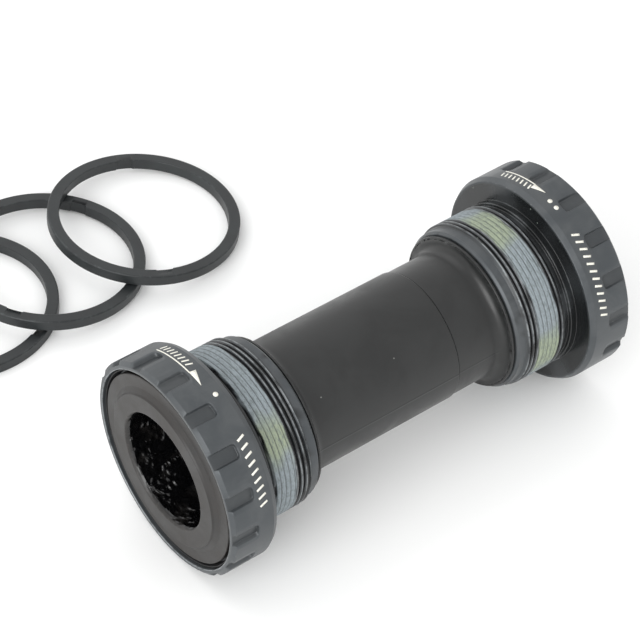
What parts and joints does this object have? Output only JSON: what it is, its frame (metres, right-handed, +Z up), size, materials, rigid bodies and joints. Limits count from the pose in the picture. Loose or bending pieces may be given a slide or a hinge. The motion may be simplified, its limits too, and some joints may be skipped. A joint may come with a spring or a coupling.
{
  "type": "bottom bracket",
  "caption": "Threaded bottom bracket with outboard bearings: notched alloy cups joined by a plastic sleeve, covers that turn with the crank spindle, and loose shell spacers.",
  "frame": {"origin": "on the shell's axis, half way between the two flange faces that clamp the shell", "axes": "+X along the spindle towards the drive side (right), +Z up, +Y towards the rear where the spacers lie"},
  "size_m": [0.1151, 0.1196, 0.044],
  "materials": {
    "cup_alloy": "satin dark grey anodised",
    "bearing_steel": "ground bearing steel",
    "ball_steel": "polished",
    "cage_nylon": "moulded nylon",
    "seal_rubber": "moulded nitrile rubber",
    "cover_plastic": "satin moulded, warm grey",
    "sleeve_plastic": "moulded, black",
    "spacer_plastic": "moulded, satin black"
  },
  "bodies": {
    "drive_side_cup": {"right_cup": "cup_alloy", "right_bearing_outer_race": "bearing_steel", "right_bearing_outboard_seal": "seal_rubber", "right_bearing_inboard_seal": "seal_rubber", "right_dust_seal": "seal_rubber", "right_grease_seal": "seal_rubber"},
    "drive_side_cover": {"right_bearing_cover": "cover_plastic", "right_bearing_inner_race": "bearing_steel"},
    "drive_side_balls": {"right_bearing_balls": "ball_steel", "right_ball_cage": "cage_nylon"},
    "sleeve": {"sleeve_long_tube": "sleeve_plastic", "sleeve_short_tube": "sleeve_plastic", "left_o_ring": "seal_rubber", "right_o_ring": "seal_rubber"},
    "left_side_cup": {"left_cup": "cup_alloy", "left_bearing_outer_race": "bearing_steel", "left_bearing_outboard_seal": "seal_rubber", "left_bearing_inboard_seal": "seal_rubber", "left_dust_seal": "seal_rubber", "left_grease_seal": "seal_rubber"},
    "left_side_cover": {"left_bearing_cover": "cover_plastic", "left_bearing_inner_race": "bearing_steel"},
    "left_side_balls": {"left_bearing_balls": "ball_steel", "left_ball_cage": "cage_nylon"},
    "spacer_low": {"shell_spacer_low": "spacer_plastic"},
    "spacer_middle": {"shell_spacer_middle": "spacer_plastic"},
    "spacer_top": {"shell_spacer_top": "spacer_plastic"}
  },
  "joints": [
    {"name": "drive_side_spin", "type": "hinge", "parent": "drive_side_cup", "child": "drive_side_cover", "pos_m": [0.04225, 0, 0], "axis": [1, 0, 0], "continuous": true},
    {"name": "drive_side_ball_orbit", "type": "hinge", "parent": "drive_side_cup", "child": "drive_side_balls", "pos_m": [0.04225, 0, 0], "axis": [1, 0, 0], "continuous": true},
    {"name": "sleeve_pull", "type": "slide", "parent": "drive_side_cup", "child": "sleeve", "axis": [-1, 0, 0], "range_m": [0, 0.012]},
    {"name": "left_cup_pull", "type": "slide", "parent": "sleeve", "child": "left_side_cup", "axis": [-1, 0, 0], "range_m": [0, 0.012]},
    {"name": "left_side_spin", "type": "hinge", "parent": "left_side_cup", "child": "left_side_cover", "pos_m": [-0.04225, 0, 0], "axis": [1, 0, 0], "continuous": true},
    {"name": "left_side_ball_orbit", "type": "hinge", "parent": "left_side_cup", "child": "left_side_balls", "pos_m": [-0.04225, 0, 0], "axis": [1, 0, 0], "continuous": true},
    {"name": "spacer_low_lift", "type": "slide", "parent": "drive_side_cup", "child": "spacer_low", "axis": [0, 0, 1], "range_m": [0, 0.06]},
    {"name": "spacer_middle_lift", "type": "slide", "parent": "spacer_low", "child": "spacer_middle", "axis": [0, 0, 1], "range_m": [0, 0.06]},
    {"name": "spacer_top_lift", "type": "slide", "parent": "spacer_middle", "child": "spacer_top", "axis": [0, 0, 1], "range_m": [0, 0.06]}
  ],
  "couplings": [
    {"joint": "drive_side_ball_orbit", "follows": "drive_side_spin", "ratio": 0.44355},
    {"joint": "left_side_ball_orbit", "follows": "left_side_spin", "ratio": 0.44355}
  ]
}
